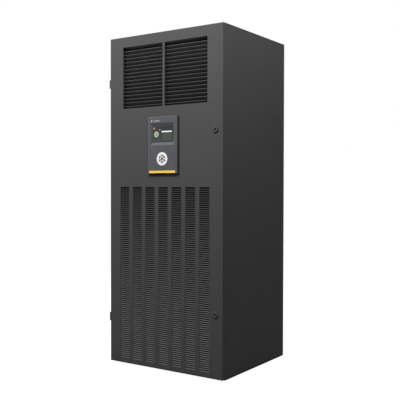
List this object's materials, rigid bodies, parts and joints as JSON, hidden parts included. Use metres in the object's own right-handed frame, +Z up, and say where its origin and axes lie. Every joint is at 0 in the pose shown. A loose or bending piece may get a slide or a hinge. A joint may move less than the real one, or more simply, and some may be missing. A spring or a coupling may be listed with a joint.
{
  "type": "precision cooling unit",
  "caption": "Tall floor-standing cooling cabinet with a hinged front door, adjustable supply louvre above, display in the middle and slatted return windows below.",
  "frame": {"origin": "on the floor, under the middle of the unit's outer box", "axes": "+X right seen from the front, -Y out of the front door, +Z up"},
  "size_m": [0.7058, 0.6378, 1.7],
  "materials": {
    "cabinet_paint": "fine-textured dark grey powder coat",
    "blade_paint": "dark grey painted aluminium",
    "black_paint": "matt black paint",
    "galvanised": "galvanised sheet",
    "stainless": "stainless sheet",
    "box_paint": "light grey powder coat",
    "hinge_steel": "dark grey painted steel",
    "latch_chrome": "dull dark chrome",
    "foot_rubber": "black rubber",
    "filter_card": "black moisture-proof board",
    "filter_cloth": "dark grey pleated synthetic cloth",
    "fin_aluminium": "bare aluminium",
    "copper": "bare copper pipe",
    "valve_brass": "bare brass",
    "drier_paint": "painted steel capsule",
    "wheel_steel": "galvanised steel",
    "switch_plastic": "grey moulded plastic",
    "knob_plastic": "red moulded plastic",
    "display_plastic": "blue-grey moulded plastic",
    "screen_glass": "touch panel with a lit picture",
    "amber_plastic": "amber moulded plastic"
  },
  "bodies": {
    "cabinet": {"left_side_panel": "cabinet_paint", "right_side_panel": "cabinet_paint", "rear_panel": "cabinet_paint", "top_panel": "cabinet_paint", "corner_posts": "cabinet_paint", "base_tray": "black_paint", "supply_plenum": "black_paint", "compressor": "black_paint", "fan_deck": "galvanised", "blower_housing": "galvanised", "coil_casing": "galvanised", "motor_bracket": "galvanised", "drain_pan": "stainless", "control_box": "box_paint", "control_box_cover": "box_paint", "cabinet_hinge_leaves": "hinge_steel", "hinge_pins": "hinge_steel", "levelling_feet": "foot_rubber", "compressor_mounts": "foot_rubber", "door_seal": "foot_rubber", "air_filter_frame": "filter_card", "air_filter_media": "filter_cloth", "coil_fins": "fin_aluminium", "coil_headers": "copper", "suction_line": "copper", "discharge_line": "copper", "liquid_line": "copper", "expansion_valve": "valve_brass", "filter_drier": "drier_paint", "switchgear": "switch_plastic"},
    "door": {"door_panel": "cabinet_paint", "return_grille": "cabinet_paint", "supply_grille_frame": "cabinet_paint", "door_hinge_leaves": "hinge_steel", "display_housing": "display_plastic", "touch_screen": "screen_glass", "accent_bar": "amber_plastic", "latch_housings": "latch_chrome"},
    "upper_latch": {"upper_latch": "latch_chrome"},
    "lower_latch": {"lower_latch": "latch_chrome"},
    "louvre_link": {"louvre_link": "galvanised"},
    "blower_wheel": {"blower_wheel": "wheel_steel", "motor_rotor": "fin_aluminium"},
    "isolator_knob": {"isolator_knob": "knob_plastic"},
    "louvre_blade_01": {"louvre_blade_01": "blade_paint"},
    "louvre_blade_02": {"louvre_blade_02": "blade_paint"},
    "louvre_blade_03": {"louvre_blade_03": "blade_paint"},
    "louvre_blade_04": {"louvre_blade_04": "blade_paint"},
    "louvre_blade_05": {"louvre_blade_05": "blade_paint"},
    "louvre_blade_06": {"louvre_blade_06": "blade_paint"},
    "louvre_blade_07": {"louvre_blade_07": "blade_paint"},
    "louvre_blade_08": {"louvre_blade_08": "blade_paint"},
    "louvre_blade_09": {"louvre_blade_09": "blade_paint"},
    "louvre_blade_10": {"louvre_blade_10": "blade_paint"},
    "louvre_blade_11": {"louvre_blade_11": "blade_paint"},
    "louvre_blade_12": {"louvre_blade_12": "blade_paint"},
    "louvre_blade_13": {"louvre_blade_13": "blade_paint"},
    "louvre_blade_14": {"louvre_blade_14": "blade_paint"},
    "louvre_blade_15": {"louvre_blade_15": "blade_paint"},
    "louvre_blade_16": {"louvre_blade_16": "blade_paint"}
  },
  "joints": [
    {"name": "door_hinge", "type": "hinge", "parent": "cabinet", "child": "door", "pos_m": [-0.3522, -0.3045, 0.85], "axis": [0, 0, -1], "range_deg": [0, 115]},
    {"name": "upper_latch_turn", "type": "hinge", "parent": "door", "child": "upper_latch", "pos_m": [0.309, -0.2945, 1.199], "axis": [0, -1, 0], "range_deg": [0, 90]},
    {"name": "lower_latch_turn", "type": "hinge", "parent": "door", "child": "lower_latch", "pos_m": [0.309, -0.2945, 0.3195], "axis": [0, -1, 0], "range_deg": [0, 90]},
    {"name": "louvre_blade_01_tilt", "type": "hinge", "parent": "door", "child": "louvre_blade_01", "pos_m": [0, -0.288, 1.335], "axis": [1, 0, 0], "range_deg": [-15, 60]},
    {"name": "louvre_blade_02_tilt", "type": "hinge", "parent": "door", "child": "louvre_blade_02", "pos_m": [0, -0.288, 1.35396], "axis": [1, 0, 0], "range_deg": [-15, 60]},
    {"name": "louvre_blade_03_tilt", "type": "hinge", "parent": "door", "child": "louvre_blade_03", "pos_m": [0, -0.288, 1.37292], "axis": [1, 0, 0], "range_deg": [-15, 60]},
    {"name": "louvre_blade_04_tilt", "type": "hinge", "parent": "door", "child": "louvre_blade_04", "pos_m": [0, -0.288, 1.39188], "axis": [1, 0, 0], "range_deg": [-15, 60]},
    {"name": "louvre_blade_05_tilt", "type": "hinge", "parent": "door", "child": "louvre_blade_05", "pos_m": [0, -0.288, 1.41084], "axis": [1, 0, 0], "range_deg": [-15, 60]},
    {"name": "louvre_blade_06_tilt", "type": "hinge", "parent": "door", "child": "louvre_blade_06", "pos_m": [0, -0.288, 1.4298], "axis": [1, 0, 0], "range_deg": [-15, 60]},
    {"name": "louvre_blade_07_tilt", "type": "hinge", "parent": "door", "child": "louvre_blade_07", "pos_m": [0, -0.288, 1.44876], "axis": [1, 0, 0], "range_deg": [-15, 60]},
    {"name": "louvre_blade_08_tilt", "type": "hinge", "parent": "door", "child": "louvre_blade_08", "pos_m": [0, -0.288, 1.46772], "axis": [1, 0, 0], "range_deg": [-15, 60]},
    {"name": "louvre_blade_09_tilt", "type": "hinge", "parent": "door", "child": "louvre_blade_09", "pos_m": [0, -0.288, 1.48668], "axis": [1, 0, 0], "range_deg": [-15, 60]},
    {"name": "louvre_blade_10_tilt", "type": "hinge", "parent": "door", "child": "louvre_blade_10", "pos_m": [0, -0.288, 1.50564], "axis": [1, 0, 0], "range_deg": [-15, 60]},
    {"name": "louvre_blade_11_tilt", "type": "hinge", "parent": "door", "child": "louvre_blade_11", "pos_m": [0, -0.288, 1.5246], "axis": [1, 0, 0], "range_deg": [-15, 60]},
    {"name": "louvre_blade_12_tilt", "type": "hinge", "parent": "door", "child": "louvre_blade_12", "pos_m": [0, -0.288, 1.54356], "axis": [1, 0, 0], "range_deg": [-15, 60]},
    {"name": "louvre_blade_13_tilt", "type": "hinge", "parent": "door", "child": "louvre_blade_13", "pos_m": [0, -0.288, 1.56252], "axis": [1, 0, 0], "range_deg": [-15, 60]},
    {"name": "louvre_blade_14_tilt", "type": "hinge", "parent": "door", "child": "louvre_blade_14", "pos_m": [0, -0.288, 1.58148], "axis": [1, 0, 0], "range_deg": [-15, 60]},
    {"name": "louvre_blade_15_tilt", "type": "hinge", "parent": "door", "child": "louvre_blade_15", "pos_m": [0, -0.288, 1.60044], "axis": [1, 0, 0], "range_deg": [-15, 60]},
    {"name": "louvre_blade_16_tilt", "type": "hinge", "parent": "door", "child": "louvre_blade_16", "pos_m": [0, -0.288, 1.6194], "axis": [1, 0, 0], "range_deg": [-15, 60]},
    {"name": "louvre_link_swing", "type": "hinge", "parent": "louvre_blade_01", "child": "louvre_link", "pos_m": [0.275, -0.277, 1.335], "axis": [1, 0, 0], "range_deg": [-60, 15]},
    {"name": "blower_spin", "type": "hinge", "parent": "cabinet", "child": "blower_wheel", "pos_m": [0, 0.0555, 1.49], "axis": [1, 0, 0], "continuous": true},
    {"name": "isolator_turn", "type": "hinge", "parent": "cabinet", "child": "isolator_knob", "pos_m": [0.23, -0.2745, 1.13], "axis": [0, 1, 0], "range_deg": [0, 90]}
  ],
  "couplings": [
    {"joint": "louvre_blade_02_tilt", "follows": "louvre_blade_01_tilt", "ratio": 1},
    {"joint": "louvre_blade_03_tilt", "follows": "louvre_blade_01_tilt", "ratio": 1},
    {"joint": "louvre_blade_04_tilt", "follows": "louvre_blade_01_tilt", "ratio": 1},
    {"joint": "louvre_blade_05_tilt", "follows": "louvre_blade_01_tilt", "ratio": 1},
    {"joint": "louvre_blade_06_tilt", "follows": "louvre_blade_01_tilt", "ratio": 1},
    {"joint": "louvre_blade_07_tilt", "follows": "louvre_blade_01_tilt", "ratio": 1},
    {"joint": "louvre_blade_08_tilt", "follows": "louvre_blade_01_tilt", "ratio": 1},
    {"joint": "louvre_blade_09_tilt", "follows": "louvre_blade_01_tilt", "ratio": 1},
    {"joint": "louvre_blade_10_tilt", "follows": "louvre_blade_01_tilt", "ratio": 1},
    {"joint": "louvre_blade_11_tilt", "follows": "louvre_blade_01_tilt", "ratio": 1},
    {"joint": "louvre_blade_12_tilt", "follows": "louvre_blade_01_tilt", "ratio": 1},
    {"joint": "louvre_blade_13_tilt", "follows": "louvre_blade_01_tilt", "ratio": 1},
    {"joint": "louvre_blade_14_tilt", "follows": "louvre_blade_01_tilt", "ratio": 1},
    {"joint": "louvre_blade_15_tilt", "follows": "louvre_blade_01_tilt", "ratio": 1},
    {"joint": "louvre_blade_16_tilt", "follows": "louvre_blade_01_tilt", "ratio": 1},
    {"joint": "louvre_link_swing", "follows": "louvre_blade_01_tilt", "ratio": -1}
  ]
}
